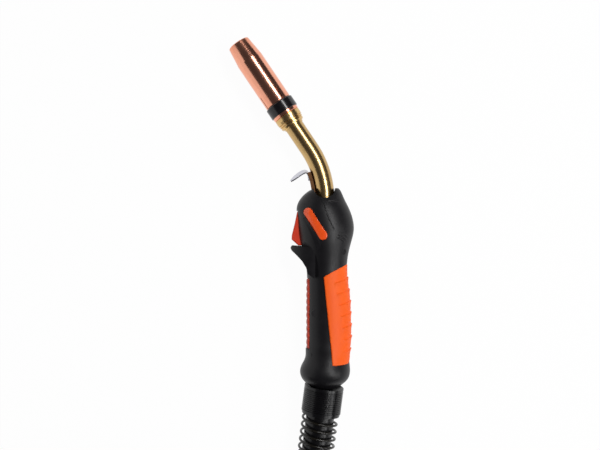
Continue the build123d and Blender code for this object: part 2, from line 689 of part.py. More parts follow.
with BuildPart() as cable_support:
    revolve(
        outline(
            support_side,
            (SUPPORT_START, STEM_R), (SUPPORT_START, SUPPORT_R - 0.5), (SUPPORT_START + 0.5, SUPPORT_R),
            (SUPPORT_START + 2.6, SUPPORT_R), (SUPPORT_START + 3.0, SUPPORT_R - RIB_DEEP),
            (SUPPORT_START + 3.6, SUPPORT_R - RIB_DEEP), (SUPPORT_START + 4.0, SUPPORT_R),
            *rib_line,
            (SUPPORT_END, SUPPORT_R), (SUPPORT_END, COLLAR_R), (COLLAR_END, COLLAR_R),
            (COLLAR_END, HOSE_R), (SUPPORT_PLATE + 2.2, HOSE_R), (SUPPORT_PLATE + 2.2, STEM_R),
        ),
        axis=support_axis,
    )
    with BuildSketch(support_side):
        with BuildLine():
            cup_low = (CUP_R**2 - STEM_R**2) ** 0.5
            rim = (CUP_R**2 - SUPPORT_START**2) ** 0.5
            Polyline(
                (cup_low, STEM_R), (SUPPORT_START - 1, STEM_R), (SUPPORT_START - 1, rim),
                (SUPPORT_START, rim),
            )
            turn_at = atan2(STEM_R + rim, cup_low + SUPPORT_START)
            ThreePointArc(
                (SUPPORT_START, rim), (CUP_R * cos(turn_at), CUP_R * sin(turn_at)),
                (cup_low, STEM_R),
            )
        make_face()
    revolve(axis=support_axis, mode=Mode.SUBTRACT)
cable_support.part.label = "cable_support"
export_step(cable_support.part, "parts/cable_support.step")

with BuildPart() as kink_spring:
    spring_base = ball + support_way * (COLLAR_END + COIL_SPRING_WIRE)
    with BuildLine():
        winding = Helix(
            pitch=COIL_SPRING_PITCH, height=COIL_SPRING_LONG - 2 * COIL_SPRING_WIRE,
            radius=COIL_SPRING_R, center=spring_base, direction=support_way,
        )
    with BuildSketch(Plane(origin=winding @ 0, z_dir=winding % 0)):
        Circle(COIL_SPRING_WIRE)
    sweep(is_frenet=True)
kink_spring.part.label = "kink_spring"
export_step(kink_spring.part, "parts/kink_spring.step")

# ---------------------------------------------------------------- hose
lead_points = [
    ball + support_way * (SUPPORT_PLATE + 2.4),
    ball + support_way * HOSE_BEND,
    coil_centre + Vector(TURN_OUTER, 0, HOSE_R),
]
tail_level = COIL_TOP - HOSE_R - 0.2
tail_points = [
    coil_centre + Vector(TURN_OUTER + TAIL_OUT - 11, TAIL_DROP + 122, tail_level),
    coil_centre + Vector(TURN_OUTER + TAIL_OUT, TAIL_DROP + 63, tail_level),
    coil_centre + Vector(TURN_OUTER + TAIL_OUT, TAIL_DROP, PLUG_R),
    plug_start,
]


def bend_radii(points):
    """The arc at each corner: 0.45 of the shorter run, over the tangent of half the turn."""
    radii = []
    for before, corner, after in zip(points, points[1:], points[2:]):
        turn = radians((corner - before).get_angle(after - corner))
        run = min((corner - before).length, (after - corner).length)
        radii.append(0.45 * run / tan(turn / 2))
    return radii


def hose_path(points):
    """Straight runs joined by arcs."""
    radii = bend_radii(points)
    print("hose radii", [round(radius) for radius in radii])
    with BuildLine(mode=Mode.PRIVATE) as path:
        FilletPolyline(*points, radius=radii)
    return path.line


def hose_tube(points):
    """The hose along a path of points."""
    path = hose_path(points)
    with BuildPart(mode=Mode.PRIVATE) as tube:
        with BuildSketch(Plane(origin=path @ 0, z_dir=path % 0)):
            Circle(HOSE_R)
        sweep(path=path)
    run = sum(edge.length for edge in path.edges())
    print("hose volume", round(tube.part.volume), "expected", round(pi * HOSE_R**2 * run))
    return tube.part


with BuildPart() as hose_lead:
    add(hose_tube(lead_points))
hose_lead.part.label = "hose_lead"
export_step(hose_lead.part, "parts/hose_lead.step")

with BuildPart() as hose_coil:
    revolve(
        rounded(
            Plane(origin=coil_centre, x_dir=(1, 0, 0), z_dir=(0, -1, 0)), 10.0,
            (TURN_INNER - HOSE_R, 0), (TURN_OUTER + HOSE_R, 0), (TURN_OUTER + HOSE_R, COIL_SHOULDER),
            (TURN_OUTER, COIL_TOP), (TURN_INNER, COIL_TOP), (TURN_INNER - HOSE_R, 2 * HOSE_R),
        ),
        axis=Axis(coil_centre, (0, 0, 1)),
    )
hose_coil.part.label = "hose_coil"
export_step(hose_coil.part, "parts/hose_coil.step")

with BuildPart() as hose_tail:
    add(hose_tube(tail_points))
hose_tail.part.label = "hose_tail"
export_step(hose_tail.part, "parts/hose_tail.step")

# ---------------------------------------------------------------- machine plug
with BuildPart() as plug_shell:
    revolve(
        outline(
            plug_side,
            (0, HOSE_R), (0, 18.6), (1.0, 19.6), (6, 20.2), (34, 23.0), (58, 23.6), (HOUSING_END - 1, 23.6),
            (HOUSING_END, 22.6), (HOUSING_END, 18.4), (54, 18.4), (50, 19.6), (30, 19.0), (12, HOSE_R),
        ),
        axis=plug_axis,
    )
    for across in (-PLUG_SCREW_ACROSS, PLUG_SCREW_ACROSS):
        with BuildSketch(Plane(origin=plug_start + plug_across * across + plug_way * PLUG_SCREW_ALONG)):
            Circle(SCREW_R)
        extrude(amount=PLUG_SCREW_END, mode=Mode.SUBTRACT)
        below = plug_start + plug_across * across + plug_way * PLUG_SCREW_ALONG - upward * PLUG_R
        with BuildSketch(Plane(origin=below)):
            Circle(SCREW_R)
        extrude(amount=PLUG_R, mode=Mode.SUBTRACT)
        with BuildSketch(Plane(origin=below)):
            Circle(SCREW_HEAD_R)
        extrude(amount=PLUG_R - PLUG_SCREW_SEAT, mode=Mode.SUBTRACT)

with BuildPart() as plug_housing_upper:
    add(plug_shell.part)
    split(bisect_by=Plane(origin=(0, 0, PLUG_R)), keep=Keep.TOP)
plug_housing_upper.part.label = "plug_housing_upper"
export_step(plug_housing_upper.part, "parts/plug_housing_upper.step")

with BuildPart() as plug_housing_lower:
    add(plug_shell.part)
    split(bisect_by=Plane(origin=(0, 0, PLUG_R)), keep=Keep.BOTTOM)
plug_housing_lower.part.label = "plug_housing_lower"
export_step(plug_housing_lower.part, "parts/plug_housing_lower.step")

with BuildPart() as plug_screws:
    for across in (-PLUG_SCREW_ACROSS, PLUG_SCREW_ACROSS):
        screw_seat = (
            plug_start + plug_across * across + plug_way * PLUG_SCREW_ALONG
            - upward * PLUG_SCREW_SEAT
        )
        with BuildSketch(Plane(origin=screw_seat)):
            Circle(SCREW_R)
        extrude(amount=PLUG_SCREW_SEAT + PLUG_SCREW_END)
        with BuildSketch(Plane(origin=screw_seat)):
            Circle(SCREW_HEAD_R)
        extrude(amount=-SCREW_HEAD_DEEP)
plug_screws.part.label = "plug_screws"
export_step(plug_screws.part, "parts/plug_screws.step")

with BuildPart() as plug_body:
    revolve(
        outline(
            plug_side,
            (13, 2.0), (13, 11.0), (20, 12.4), (36, 12.4), (36, 16.0), (54, 16.0), (54, 18.4), (68, 18.4),
            (68, 21.0), (72, 21.0), (72, 2.0),
        ),
        axis=plug_axis,
    )
plug_body.part.label = "plug_body"
export_step(plug_body.part, "parts/plug_body.step")

with BuildPart() as plug_face:
    revolve(
        outline(
            plug_side, (72, SPIGOT_ROOT_R), (72, 20.6), (79, 20.6), (SPIGOT_START, 19.6),
            (SPIGOT_START, SPIGOT_ROOT_R),
        ),
        axis=plug_axis,
    )
    for away in (-CONTACT_OFFSET, CONTACT_OFFSET):
        with BuildSketch(Plane(origin=plug_start + plug_way * 72 + upward * away, z_dir=plug_way)):
            Circle(CONTACT_R + FIT)
        extrude(amount=20, mode=Mode.SUBTRACT)
plug_face.part.label = "plug_face"
export_step(plug_face.part, "parts/plug_face.step")

with BuildPart() as plug_spigot:
    revolve(
        outline(
            plug_side,
            (72, 2.0), (72, SPIGOT_ROOT_R), (SPIGOT_START + 1, SPIGOT_ROOT_R),
            (SPIGOT_START + 1, SPIGOT_PIN_R), (99, SPIGOT_PIN_R), (99, SPIGOT_PIN_R - 2 * SEAL_R),
            (99 + 2 * SEAL_R, SPIGOT_PIN_R - 2 * SEAL_R), (99 + 2 * SEAL_R, SPIGOT_PIN_R),
            (PLUG_LENGTH - 2, SPIGOT_PIN_R), (PLUG_LENGTH, SPIGOT_PIN_R - 2), (PLUG_LENGTH, 2.0),
        ),
        axis=plug_axis,
    )
plug_spigot.part.label = "plug_spigot"
export_step(plug_spigot.part, "parts/plug_spigot.step")

with BuildPart() as spigot_seal:
    with BuildSketch(plug_side):
        with Locations((99 + SEAL_R, SPIGOT_PIN_R - SEAL_R)):
            Circle(SEAL_R)
    revolve(axis=plug_axis)
spigot_seal.part.label = "spigot_seal"
export_step(spigot_seal.part, "parts/spigot_seal.step")

with BuildPart() as plug_nut:
    revolve(
        outline(
            plug_side,
            (64, 18.4 + RUNNING), (64, PLUG_R - 1.2), (65.2, PLUG_R), (93, PLUG_R), (96, PLUG_R - 2.0),
            (96, 21.0 + RUNNING), (68 - RUNNING, 21.0 + RUNNING), (68 - RUNNING, 18.4 + RUNNING),
        ),
        axis=plug_axis,
    )
    for turn in range(0, 360, 30):
        flute_way = upward.rotate(Axis((0, 0, 0), plug_way), turn + 15)
        with BuildSketch(Plane(origin=plug_start + plug_way * 68, x_dir=flute_way, z_dir=plug_way)):
            with Locations((PLUG_R + 1.0, 0)):
                Circle(2.4)
        extrude(amount=PLUG_R + 5, mode=Mode.SUBTRACT)
plug_nut.part.label = "plug_nut"
export_step(plug_nut.part, "parts/plug_nut.step")

for number, away in ((1, -CONTACT_OFFSET), (2, CONTACT_OFFSET)):
    with BuildPart() as contact_pin:
        with BuildSketch(Plane(origin=plug_start + plug_way * 76 + upward * away, z_dir=plug_way)):
            Circle(CONTACT_R)
        extrude(amount=4 + CONTACT_OUT)
    contact_pin.part.label = f"contact_pin_{number}"
    export_step(contact_pin.part, f"parts/contact_pin_{number}.step")

with BuildPart() as plug_spring:
    with BuildLine():
        plug_winding = Helix(
            pitch=6.4, height=24, radius=HOSE_R + 2.2, center=plug_start - plug_way * 26,
            direction=plug_way,
        )
    with BuildSketch(Plane(origin=plug_winding @ 0, z_dir=plug_winding % 0)):
        Circle(COIL_SPRING_WIRE)
    sweep(is_frenet=True)
plug_spring.part.label = "plug_spring"
export_step(plug_spring.part, "parts/plug_spring.step")

print("handle axis at", round(HX, 3), round(HY, 3), "ball", [round(v, 3) for v in ball])
print("neck end", [round(v, 3) for v in neck_end], "way", [round(v, 4) for v in neck_way])
print("coil centre", [round(v, 3) for v in coil_centre], "plug", [round(v, 3) for v in plug_start])
print("lead", [[round(v, 2) for v in p] for p in lead_points])
print("tail", [[round(v, 2) for v in p] for p in tail_points])
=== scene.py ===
# A gas-cooled MIG welding torch on its side on a white table, looked at from straight above.
from math import acos, atan2, cos, hypot, pi, radians, sin, sqrt

import bmesh
import bpy
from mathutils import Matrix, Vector


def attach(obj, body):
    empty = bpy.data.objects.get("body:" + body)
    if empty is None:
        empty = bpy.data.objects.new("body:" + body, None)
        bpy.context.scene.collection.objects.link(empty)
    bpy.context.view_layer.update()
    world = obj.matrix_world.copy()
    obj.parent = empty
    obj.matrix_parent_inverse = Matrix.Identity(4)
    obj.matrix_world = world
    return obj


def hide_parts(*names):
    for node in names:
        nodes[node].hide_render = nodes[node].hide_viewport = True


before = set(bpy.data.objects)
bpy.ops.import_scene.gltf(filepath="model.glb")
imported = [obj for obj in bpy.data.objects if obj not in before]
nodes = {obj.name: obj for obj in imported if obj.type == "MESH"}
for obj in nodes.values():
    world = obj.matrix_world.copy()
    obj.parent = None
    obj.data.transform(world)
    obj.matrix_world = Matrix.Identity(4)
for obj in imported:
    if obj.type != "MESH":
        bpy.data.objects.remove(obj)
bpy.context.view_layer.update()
scene = bpy.context.scene

# ---- Camera -------------------------------------------------------------------------------------
# The torch lies flat with its middle plane 25 mm above the table, and the camera hangs straight over
# it, far enough for 600 mm of that plane to fill the frame's width, with the nozzle pointing up.
# A place on the torch is given in millimetres from the handle's axis and from its hose end.
HANDLE_X, HANDLE_Y, MIDDLE = 0.0336173, -0.1041089, 0.025
VIEW_MIDDLE, VIEW_WIDE = (-25, 159), 600


def place(across, along, up=0.0):
    """A point on the torch, from millimetres across the handle, along it, and above its middle."""
    return Vector((HANDLE_X + across / 1000, HANDLE_Y + along / 1000, MIDDLE + up / 1000))


lens = bpy.data.cameras.new("lens")
lens.lens, lens.sensor_width = 50, 36
lens.clip_start, lens.clip_end = 0.05, 20
camera = bpy.data.objects.new("camera", lens)
scene.collection.objects.link(camera)
camera.location = place(*VIEW_MIDDLE, VIEW_WIDE * lens.lens / lens.sensor_width)
camera.rotation_euler = (0, 0, 0)
scene.camera = camera

# ---- Table and light ----------------------------------------------------------------------------
# A white table that still takes a little of the torch's shadow, and a studio of three soft boxes: one
# as large as a wall on the trigger side, a narrow one overhead and a small dim one low on the far
# side. The dark gaps between them give polished metal its bands.


class Wire:
    """A shader socket that takes part in Python arithmetic and adds the Math nodes that it needs."""

    def __init__(self, tree, socket):
        self.tree, self.socket = tree, socket

    def math(self, operation, *values, clamp=False):
        node = self.tree.nodes.new("ShaderNodeMath")
        node.operation, node.use_clamp = operation, clamp
        for entry, value in zip(node.inputs, values):
            if isinstance(value, Wire):
                self.tree.links.new(value.socket, entry)
            else:
                entry.default_value = value
        return Wire(self.tree, node.outputs[0])

    def __add__(self, other):
        return self.math("ADD", self, other)

    def __sub__(self, other):
        return self.math("SUBTRACT", self, other)

    def __mul__(self, other):
        return self.math("MULTIPLY", self, other)

    def __truediv__(self, other):
        return self.math("DIVIDE", self, other)

    def __radd__(self, other):
        return self.math("ADD", other, self)

    def __rsub__(self, other):
        return self.math("SUBTRACT", other, self)

    def __rmul__(self, other):
        return self.math("MULTIPLY", other, self)

    def __abs__(self):
        return self.math("ABSOLUTE", self)

    def highest(self, other):
        return self.math("MAXIMUM", self, other)

    def wave(self, turns=1.0):
        """A cosine of this value times turns, from 0 to 1."""
        return self.math("COSINE", self * (2 * pi * turns)) * 0.5 + 0.5

    def ramp(self, low, high):
        """0 below low and 1 above high, and a straight slope between them."""
        return self.math("MULTIPLY", self - low, 1.0 / (high - low), clamp=True)


class Finish:
    """A material that is put together node by node round one Principled shader."""

    def __init__(self, name, world=None):
        self.material = world or bpy.data.materials.new(name)
        self.material.use_nodes = True
        self.tree = self.material.node_tree
        self.tree.nodes.clear()
        kind = "World" if world else "Material"
        self.out = self.tree.nodes.new(f"ShaderNodeOutput{kind}")
        self.shader = None
        if not world:
            self.shader = self.tree.nodes.new("ShaderNodeBsdfPrincipled")
            self.tree.links.new(self.shader.outputs[0], self.out.inputs["Surface"])

    def node(self, kind, settings=None, output=0, **values):
        """Adds a node: its settings first, then the values or links of its sockets."""
        node = self.tree.nodes.new("ShaderNode" + kind)
        for key, value in (settings or {}).items():
            setattr(node, key, value)
        for key, value in values.items():
            name = key.replace("_", " ")
            entry = next(s for s in node.inputs if s.name == name and s.enabled)
            self.put(entry, value)
        return Wire(self.tree, node.outputs[output])

    def put(self, entry, value):
        if isinstance(value, Wire):
            self.tree.links.new(value.socket, entry)
        elif isinstance(value, tuple) and len(value) == 3 and len(entry.default_value) == 4:
            entry.default_value = (*value, 1)
        else:
            entry.default_value = value

    def set(self, **values):
        for key, value in values.items():
            self.put(self.shader.inputs[key.replace("_", " ")], value)
        return self

    def mix(self, share, first, second):
        """A colour between two."""
        return self.node(
            "Mix", {"data_type": "RGBA"}, output=2, Factor=share, A=first, B=second
        )

    def spot(self, centre=(0, 0, 0), turn=0.0):
        """The x, y and z, in millimetres, of the point being shaded, from a centre in metres."""
        coordinates = self.tree.nodes.new("ShaderNodeTexCoord")
        mapping = self.tree.nodes.new("ShaderNodeMapping")
        mapping.vector_type = "TEXTURE"
        mapping.inputs["Location"].default_value = centre
        mapping.inputs["Rotation"].default_value = (0, 0, turn)
        mapping.inputs["Scale"].default_value = (0.001, 0.001, 0.001)
        self.tree.links.new(coordinates.outputs["Object"], mapping.inputs["Vector"])
        split = self.tree.nodes.new("ShaderNodeSeparateXYZ")
        self.tree.links.new(mapping.outputs[0], split.inputs[0])
        self.where = Wire(self.tree, mapping.outputs[0])
        return [Wire(self.tree, out) for out in split.outputs]

    def noise(self, scale, detail=3.0, rough=0.5):
        """Noise from 0 to 1, scale lumps to the millimetre."""
        return self.node(
            "TexNoise", Vector=self.where, Scale=scale, Detail=detail, Roughness=rough
        )

    def bump(self, height, depth):
        """Relief from a height between 0 and 1 that stands for a depth in millimetres."""
        normal = self.node("Bump", Height=height, Distance=depth / 1000, Strength=1.0)
        self.put(self.shader.inputs["Normal"], normal)
        return self

    def on(self, *names):
        """Puts this finish on CAD pieces."""
        for name in names:
            mesh = nodes[name].data
            mesh.materials.clear()
            mesh.materials.append(self.material)
        return self


def light(name, size, watts, spot, aim):
    """A soft box of a width and a height that hangs at a spot and faces another."""
    lamp = bpy.data.lights.new(name, "AREA")
    lamp.shape, lamp.size, lamp.size_y = "RECTANGLE", *size
    lamp.energy = watts
    box = bpy.data.objects.new(name, lamp)
    box.location = spot
    box.rotation_euler = (Vector(aim) - Vector(spot)).to_track_quat("-Z", "Y").to_euler()
    scene.collection.objects.link(box)


middle = place(*VIEW_MIDDLE)
light("wall", (5.0, 1.7), 22, middle + Vector((-2.2, 0.5, 0.8)), middle)
light("key_box", (1.9, 0.24), 23, middle + Vector((0.70, 0.22, 1.42)), middle)
light("side_box", (1.1, 0.5), 7, middle + Vector((1.41, -0.66, 0.9)), middle)

room = Finish("room", world=bpy.data.worlds.new("room"))
scene.world = room.material
glow = room.node("Background", Color=(0.9, 0.9, 1.0), Strength=0.06)
room.tree.links.new(glow.socket, room.out.inputs["Surface"])

TABLE_HALF, TABLE_TOP = 6, -0.0006
WHITE_SHARE = 0.97     # how much of the table's look is plain white; the rest takes shadow
table_mesh = bpy.data.meshes.new("table")
table_mesh.from_pydata(
    [(x * TABLE_HALF, y * TABLE_HALF, TABLE_TOP) for x, y in ((-1, -1), (1, -1), (1, 1), (-1, 1))],
    [], [(0, 1, 2, 3)],
)
table = bpy.data.objects.new("table", table_mesh)
scene.collection.objects.link(table)
top = Finish("table_top").set(Base_Color=(0.86, 0.86, 0.86), Roughness=0.8, Specular_IOR_Level=0.2)
ray = top.tree.nodes.new("ShaderNodeLightPath")
seen = Wire(top.tree, ray.outputs["Is Camera Ray"]).highest(
    Wire(top.tree, ray.outputs["Is Glossy Ray"])
).highest(Wire(top.tree, ray.outputs["Is Transmission Ray"]))
white = top.node("Emission", Color=(1, 1, 1), Strength=1.0)
both = top.node("MixShader", Fac=seen * WHITE_SHARE)
top.tree.links.new(top.shader.outputs[0], both.socket.node.inputs[1])
top.tree.links.new(white.socket, both.socket.node.inputs[2])
top.tree.links.new(both.socket, top.out.inputs["Surface"])
table_mesh.materials.append(top.material)

scene.view_settings.view_transform = "Standard"


# ---- Hose ---------------------------------------------------------------------------------------
# About three metres of black rubber hose, 28.5 mm thick, that holds the wire liner, the power cable
# and the gas. It comes straight out of the ribbed support, and the rest of it is wound in nearly three
# turns beside its own end, with the machine plug at the outside.
HOSE = 0.0285


def mm(*points):
    """Points in metres from points in millimetres."""
    return [tuple(value / 1000 for value in point) for point in points]


WOUND_ROUND = (-129.4, -363.1)
# (turns from the start, radius, height) of the winding
WINDING = [
    (0.0, 157, 14.3), (0.72, 157, 14.3), (0.8, 151, 14.3), (0.9, 138, 14.3), (1.0, 129, 14.3),
    (1.5, 128.5, 14.3), (1.6, 128.5, 19), (1.7, 130, 28), (1.8, 133, 37), (1.9, 138, 42),
    (2.0, 143, 41), (2.1, 143, 39), (2.45, 143.5, 39), (2.6, 151, 40), (2.7, 157.5, 41),
    (2.8, 165, 46), (2.9, 171.5, 48),
]
STEPS = 16
CUT_IN = 1.013     # a smooth line runs this much inside the corners that guide it


def between(table, at, column):
    """A value from a table whose first column rises, on straight lines between its rows."""
    for low, high in zip(table, table[1:]):
        if at <= high[0]:
            share = (at - low[0]) / (high[0] - low[0])
            return low[column] + share * (high[column] - low[column])
    return table[-1][column]


route = mm((31.24, -118.66, 23.93), (19.36, -210.2, 20.4), (12.17, -265.51, 18.24))
for step in range(int(WINDING[-1][0] * STEPS) + 1):
    turn = step / STEPS
    radius = between(WINDING, turn, 1) * CUT_IN
    route += mm((
        WOUND_ROUND[0] + radius * cos(2 * pi * turn),
        WOUND_ROUND[1] - radius * sin(2 * pi * turn),
        between(WINDING, turn, 2),
    ))
route += mm(
    (27.0, -286.8, 47.5), (44.5, -343.0, 45.5), (47.62, -407.1, 25.2), (39.68, -463.55, 25.0),
    (38.29, -473.46, 25.0),
)


def hose_line(name, thickness):
    """The hose's smooth line through its guiding points."""
    curve = bpy.data.curves.new(name, "CURVE")
    curve.dimensions = "3D"
    curve.resolution_u = 8
    curve.bevel_depth, curve.bevel_resolution = thickness, 8
    curve.use_fill_caps = thickness > 0
    line = curve.splines.new("NURBS")
    line.points.add(len(route) - 1)
    for point, spot in zip(line.points, route):
        point.co = (*spot, 1)
    line.order_u = 3
    line.use_endpoint_u = True
    thing = bpy.data.objects.new(name, curve)
    scene.collection.objects.link(thing)
    return thing


hose = hose_line("hose", HOSE / 2)
rubber = Finish("hose_rubber")
rubber.spot()
print_marks = rubber.noise(0.35, 4.0)
rubber.set(
    Base_Color=rubber.mix(print_marks, (0.0020, 0.0018, 0.0022), (0.0060, 0.0056, 0.0064)),
    Roughness=rubber.noise(0.12, 3.0) * 0.14 + 0.2, Specular_IOR_Level=0.4,
)
rubber.bump(rubber.noise(1.2, 3.0), 0.05)
hose.data.materials.append(rubber.material)
bpy.context.view_layer.update()
bare = hose_line("bare_line", 0.0)
traced = bpy.data.meshes.new_from_object(bare.evaluated_get(bpy.context.evaluated_depsgraph_get()))
spots = [vertex.co.copy() for vertex in traced.vertices]
hose_length = sum((b - a).length for a, b in zip(spots, spots[1:]))
bpy.data.objects.remove(bare)
bpy.data.meshes.remove(traced)
print("hose length", round(hose_length, 3))
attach(hose, "cable")
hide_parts("hose_lead", "hose_coil", "hose_tail")

# ---- Handle shells ------------------------------------------------------------------------------
# Two halves of black glass-filled nylon, moulded with a fine spark-eroded grain and screwed together
# along the middle. A parting line runs back from the nose beside the neck, cut in as a bump with
# painted shade along it, and short finger ribs stand on the back of the head.
shell = Finish("moulded_nylon")
across, along, _ = shell.spot(place(0, 0))


def groove(finish, start, end, width, bow=0.0):
    """A line cut between two places on the handle, 1 on its middle and 0 beyond its width."""
    run = hypot(end[0] - start[0], end[1] - start[1])
    forward = ((end[0] - start[0]) / run, (end[1] - start[1]) / run)
    ahead = (across - start[0]) * forward[0] + (along - start[1]) * forward[1]
    beside = (along - start[1]) * forward[0] - (across - start[0]) * forward[1]
    if bow:
        share = ahead / run
        beside = beside - share * (1 - share) * (4 * bow)
    edge = 1 - abs(beside).ramp(width * 0.35, width)
    return edge * ahead.ramp(-0.3, 0.3) * (1 - ahead.ramp(run - 4, run))


seam = groove(shell, (-3.6, 187), (8.4, 154), 0.62, bow=-1.2)
step = groove(shell, (2.0, 181.6), (14.0, 183.4), 0.9)
ribs = groove(shell, (11.0, 147.0), (19.5, 141.0), 0.9, bow=1.0).highest(
    groove(shell, (12.2, 149.6), (21.5, 143.4), 0.9, bow=1.0)
).highest(groove(shell, (13.6, 152.2), (22.5, 146.4), 0.8, bow=1.0))
crease = groove(shell, (-20.0, 166.0), (-6.0, 136.0), 3.2, bow=1.5)
grain = shell.noise(1.6, 2.0, 0.6)
cloudy = shell.noise(0.11, 4.0, 0.6)
scuff = shell.noise(0.5, 4.0, 0.7).ramp(0.62, 0.78)
# Clouding and scuffs are random tone in the nylon; the base colour also darkens along the seam and the
# step at the nose, which is painted shade in those grooves.
wear_and_groove_shade = (cloudy * 0.7 + scuff * 0.3) * (1 - seam) * (1 - step * 0.6)
shell.set(
    Base_Color=shell.mix(wear_and_groove_shade, (0.0040, 0.0036, 0.0045), (0.0090, 0.0082, 0.0100)),
    Roughness=cloudy * 0.12 + 0.36 + scuff * 0.08, Specular_IOR_Level=0.3,
)
shell.bump(
    grain * 0.03 + shell.noise(0.3, 2.0) * 0.05 - seam * 1.3 - step * 0.7 + ribs * 0.55 - crease * 0.8,
    0.6,
)
shell.on("handle_left", "handle_right")

# ---- Grips --------------------------------------------------------------------------------------
# Soft thermoplastic rubber moulded into recesses of the shells: a bright orange palm pad round the
# back with seven shallow ribs that rise towards the spine, and a darker red finger strip down the
# front with a row of bumps. Each has a rolled edge, so a dark line runs round it.
# (height, front edge, back edge, half thickness) up the handle, in millimetres
HANDLE = [
    (-2.4, -14.3, 14.3, 14.3), (0.0, -16.9, 16.9, 16.9), (3.0, -20.5, 20.5, 20.3),
    (8.0, -24.0, 24.0, 23.8), (13.0, -25.0, 25.0, 24.9), (20.0, -23.0, 24.6, 23.4),
    (30.0, -19.4, 24.6, 20.4), (46.0, -18.0, 25.8, 18.8), (66.0, -18.0, 25.6, 18.6),
    (88.0, -18.0, 24.6, 18.4), (108.0, -18.0, 22.2, 18.2), (122.0, -19.6, 22.2, 19.6),
    (136.0, -23.6, 24.6, 22.6), (150.0, -26.4, 28.2, 24.6), (160.0, -27.4, 28.6, 24.8),
    (170.0, -28.2, 26.2, 23.8), (178.0, -28.0, 22.8, 21.9), (184.0, -25.4, 19.8, 19.2),
    (188.5, -21.8, 17.8, 16.8), (192.5, -17.0, 16.0, 14.8), (195.6, -12.8, 13.6, 12.4),
]


def smooth_through(rows, column):
    """A natural cubic through one column of a table, as a function of its first column."""
    x, y = [row[0] for row in rows], [row[column] for row in rows]
    n = len(x)
    step = [b - a for a, b in zip(x, x[1:])]
    diagonal, right, bend = [1.0] * n, [0.0] * n, [0.0] * n
    for i in range(1, n - 1):
        diagonal[i] = 2 * (step[i - 1] + step[i]) - step[i - 1] * right[i - 1]
        right[i] = step[i] / diagonal[i]
        rise = 3 * ((y[i + 1] - y[i]) / step[i] - (y[i] - y[i - 1]) / step[i - 1])
        bend[i] = (rise - step[i - 1] * bend[i - 1]) / diagonal[i]
    for i in range(n - 2, -1, -1):
        bend[i] -= right[i] * bend[i + 1]

    def value(at):
        i = max(k for k in range(n - 1) if k == 0 or x[k] <= at)
        t = at - x[i]
        slope = (y[i + 1] - y[i]) / step[i] - step[i] * (2 * bend[i] + bend[i + 1]) / 3
        return y[i] + t * (slope + t * (bend[i] + t * (bend[i + 1] - bend[i]) / (3 * step[i])))

    return value


front_of, back_of, half_of = (smooth_through(HANDLE, column) for column in (1, 2, 3))


def section(height):
    """The middle, half width and half thickness of the handle at a height."""
    front, back = front_of(height), back_of(height)
    return (front + back) / 2, (back - front) / 2, half_of(height)


def on_handle(height, angle, lift):
    """A point on the handle's outside, lifted off it; angle 0 is the back and half a turn the front."""
    mid, wide, thick = section(height)
    return place(mid + (wide + lift) * cos(angle), height, (thick + lift) * sin(angle))


def rolled(inward, radius, proud):
    """How far a pad stands out at a distance inside its edge, which is rolled over."""
    if inward >= radius:
        return proud
    return proud - radius + sqrt(max(0.0, radius * radius - (radius - inward) ** 2))


EDGE_ROLL, EDGE_PROUD = 1.5, 0.35     # a pad's rolled edge, and how far its face stands out


def padded_strip(name, low, high, reach, relief, rows, columns, thickness=1.9):
    """A closed pad round the handle. low and high are its ends at a share across it, reach is its
    half angle at a height, round a middle angle, and relief lifts its face."""
    middle_angle, reach_at = reach
    outer, inner = [], []
    for i in range(rows + 1):
        for j in range(columns + 1):
            side_share = 2 * j / columns - 1
            height = low(side_share) + (high(side_share) - low(side_share)) * i / rows
            angle = reach_at(height) * side_share
            mid, wide, thick = section(height)
            inward = min(
                (height - low(side_share)), (high(side_share) - height),
                (reach_at(height) - abs(angle)) * (wide + thick) / 2,
            )
            lift = rolled(inward, EDGE_ROLL, EDGE_PROUD) + relief(height, angle, inward)
            outer.append(on_handle(height, middle_angle + angle, lift))
            inner.append(on_handle(height, middle_angle + angle, -thickness))
    size, wide = len(outer), columns + 1
    faces = []
    for i in range(rows):
        for j in range(columns):
            a = i * wide + j
            quad = (a, a + 1, a + wide + 1, a + wide)
            faces.append(quad)
            faces.append(tuple(size + k for k in reversed(quad)))
    rim = (
        list(range(columns + 1)) + [i * wide + columns for i in range(1, rows + 1)]
        + [rows * wide + j for j in range(columns - 1, -1, -1)]
        + [i * wide for i in range(rows - 1, 0, -1)]
    )
    for a, b in zip(rim, rim[1:] + rim[:1]):
        faces.append((b, a, size + a, size + b))
    return solid_piece(name, outer + inner, faces)


def solid_piece(name, points, faces):
    """A smooth-shaded closed mesh with its faces turned outwards."""
    mesh = bpy.data.meshes.new(name)
    mesh.from_pydata([tuple(point) for point in points], [], faces)
    work = bmesh.new()
    work.from_mesh(mesh)
    bmesh.ops.remove_doubles(work, verts=work.verts, dist=1e-6)
    bmesh.ops.recalc_face_normals(work, faces=work.faces)
    work.to_mesh(mesh)
    work.free()
    mesh.polygons.foreach_set("use_smooth", [True] * len(mesh.polygons))
    thing = bpy.data.objects.new(name, mesh)
    scene.collection.objects.link(thing)
    return thing


def edge_angle(height, across_at, side=1):
    """The angle from the back, or with side -1 from the front, to a place across the handle."""
    mid, wide, _ = section(height)
    return acos(max(-0.99, min(0.99, side * (across_at - mid) / wide)))


# the palm pad's front edge leans back down the handle: (height, place across)
PALM_EDGE = [(21.2, 6.7), (46.0, 4.1), (80.0, 0.6), (108.2, -2.3), (125.0, -4.0)]
PALM_RIBS = [106.9, 95.4, 84.0, 72.6, 60.8, 49.0, 36.4]     # where each rib crosses the spine
RIB_PROUD, RIB_RISE = 0.95, 7.0           # how far a rib stands out, and how long it takes to rise
RIB_CUT, RIB_CUT_END = 0.35, 3.0          # the undercut behind it, and where that runs out
RIB_END, RIB_END_STEP = 74.5, 4.2         # degrees from the spine to the top rib's end, less per rib
RIB_DROOP, RIB_DROOP_STEP = 5.4, 0.4      # how far the top rib sinks towards its end, less per rib


def palm_reach(height):
    return edge_angle(height, between(PALM_EDGE, height, 1))


def palm_high(share):
    return 107.8 + (1 - share * share) * 12.4


